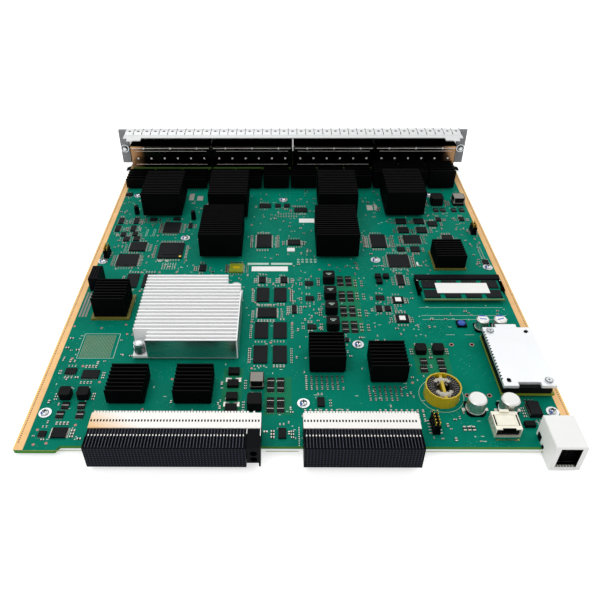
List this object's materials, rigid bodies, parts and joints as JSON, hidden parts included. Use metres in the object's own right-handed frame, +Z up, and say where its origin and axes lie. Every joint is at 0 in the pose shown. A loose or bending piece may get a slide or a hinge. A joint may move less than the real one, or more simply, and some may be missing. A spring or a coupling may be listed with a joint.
{
  "type": "chassis switch line card",
  "caption": "Chassis switch line card with stacked transceiver cages on its front panel, finned coolers, rear backplane connectors, power entry socket and ejector levers.",
  "frame": {"origin": "midway across the board and midway between its rear and front edges, at the underside of the carrier plate that the card rests on", "axes": "+X across the card to the right as seen from the backplane end, +Y from the backplane connectors toward the front panel, +Z up from the component side"},
  "size_m": [0.3894, 0.4383, 0.0448],
  "materials": {
    "solder_mask": "satin",
    "zinc_steel": "satin",
    "bright_steel": "polished",
    "nickel_sheet": "polished",
    "ear_casting": "satin",
    "black_anodised": "satin",
    "bare_aluminium": "satin",
    "black_moulding": "matte",
    "chip_moulding": "matte",
    "white_moulding": "satin",
    "gold_pins": "polished",
    "yellow_core": "satin",
    "grey_body": "matte",
    "can_aluminium": "satin"
  },
  "bodies": {
    "card": {"aluminium_cooler": "bare_aluminium", "block_capacitors": "grey_body", "board_screws": "zinc_steel", "bulk_capacitors": "can_aluminium", "cage_dividers": "nickel_sheet", "cage_floors": "nickel_sheet", "cage_rear_covers": "nickel_sheet", "cage_shells": "nickel_sheet", "capacitor_bases": "black_moulding", "carrier_plate": "zinc_steel", "carrier_standoffs": "zinc_steel", "choke_core": "grey_body", "circuit_board": "solder_mask", "clip_choke": "bright_steel", "connector_insulators": "black_moulding", "connector_stiffeners": "zinc_steel", "connector_wafers": "black_moulding", "converter_board": "solder_mask", "converter_core": "black_moulding", "converter_pins": "gold_pins", "converter_plate": "bare_aluminium", "converter_screws": "zinc_steel", "cooled_packages": "chip_moulding", "cooler_screws": "bright_steel", "emi_strip": "bright_steel", "end_ears": "ear_casting", "face_panel": "bright_steel", "flat_packages": "chip_moulding", "guide_block": "black_moulding", "header_bases": "black_moulding", "header_pins": "gold_pins", "large_sinks": "black_anodised", "link_connectors": "black_moulding", "low_sinks": "black_anodised", "memory_chips": "chip_moulding", "memory_module": "solder_mask", "module_socket": "black_moulding", "pivot_pins": "bright_steel", "port_board": "solder_mask", "port_board_posts": "zinc_steel", "port_connectors": "black_moulding", "port_separators": "nickel_sheet", "power_blades": "gold_pins", "power_inductors": "grey_body", "power_socket": "white_moulding", "power_transistors": "chip_moulding", "ring_core": "yellow_core", "ring_winding": "black_moulding", "screw_ferrules": "bright_steel", "small_packages": "chip_moulding", "square_sinks": "black_anodised"},
    "collar_left": {"screw_collar_left": "bright_steel"},
    "collar_right": {"screw_collar_right": "bright_steel"},
    "screw_left": {"captive_screw_left": "bright_steel"},
    "screw_right": {"captive_screw_right": "bright_steel"},
    "lever_left": {"ejector_lever_left": "zinc_steel"},
    "lever_right": {"ejector_lever_right": "zinc_steel"},
    "latch_left": {"module_latch_left": "bright_steel"},
    "latch_right": {"module_latch_right": "bright_steel"}
  },
  "joints": [
    {"name": "screw_slide_left", "type": "slide", "parent": "card", "child": "collar_left", "axis": [0, -1, 0], "range_m": [0, 0.003]},
    {"name": "screw_turn_left", "type": "hinge", "parent": "collar_left", "child": "screw_left", "pos_m": [-0.19, 0.2105, 0.0222], "axis": [0, 1, 0], "continuous": true},
    {"name": "screw_slide_right", "type": "slide", "parent": "card", "child": "collar_right", "axis": [0, -1, 0], "range_m": [0, 0.003]},
    {"name": "screw_turn_right", "type": "hinge", "parent": "collar_right", "child": "screw_right", "pos_m": [0.19, 0.2105, 0.0222], "axis": [0, 1, 0], "continuous": true},
    {"name": "ejector_swing_left", "type": "hinge", "parent": "card", "child": "lever_left", "pos_m": [-0.18, 0.196, 0.0019], "axis": [0, 0, 1], "range_deg": [0, 60]},
    {"name": "ejector_swing_right", "type": "hinge", "parent": "card", "child": "lever_right", "pos_m": [0.18, 0.196, 0.0019], "axis": [0, 0, -1], "range_deg": [0, 60]},
    {"name": "module_latch_left", "type": "hinge", "parent": "card", "child": "latch_left", "pos_m": [0.1034, -0.0315, 0.0082], "axis": [0, 0, -1], "range_deg": [0, 8], "stiffness_Nm_per_rad": 0.02},
    {"name": "module_latch_right", "type": "hinge", "parent": "card", "child": "latch_right", "pos_m": [0.1734, -0.0315, 0.0082], "axis": [0, 0, 1], "range_deg": [0, 8], "stiffness_Nm_per_rad": 0.02}
  ]
}
